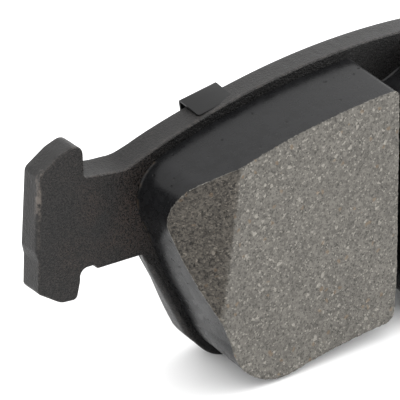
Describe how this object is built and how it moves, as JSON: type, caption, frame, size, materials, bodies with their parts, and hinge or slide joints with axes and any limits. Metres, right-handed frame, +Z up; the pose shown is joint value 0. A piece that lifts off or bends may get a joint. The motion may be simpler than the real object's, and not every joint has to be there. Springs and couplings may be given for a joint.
{
  "type": "brake pad",
  "caption": "Disc-brake pad: arched steel backing plate with T-shaped ears, two chamfered friction blocks split by a slot, and a clip-on rear shim.",
  "frame": {"origin": "on the floor under the middle of the whole pad, which stands on the lower edge of its backing plate", "axes": "+X along the pad's length, +Y through its thickness from the friction faces to the shims, +Z up towards the arched edge"},
  "size_m": [0.157, 0.0226, 0.0591],
  "materials": {
    "plate_paint": "satin black paint over stamped steel",
    "underlayer_mix": "matte moulded mix",
    "friction_mix": "ground, granular",
    "shim_rubber": "matte",
    "shim_core_steel": "satin",
    "cover_coating": "satin black coating"
  },
  "bodies": {
    "root": {"backing_plate": "plate_paint", "underlayer_left": "underlayer_mix", "underlayer_right": "underlayer_mix", "friction_block_left": "friction_mix", "friction_block_right": "friction_mix", "damping_rubber_inner": "shim_rubber", "damping_core": "shim_core_steel", "damping_rubber_outer": "shim_rubber", "cover_shim": "cover_coating"}
  },
  "joints": []
}
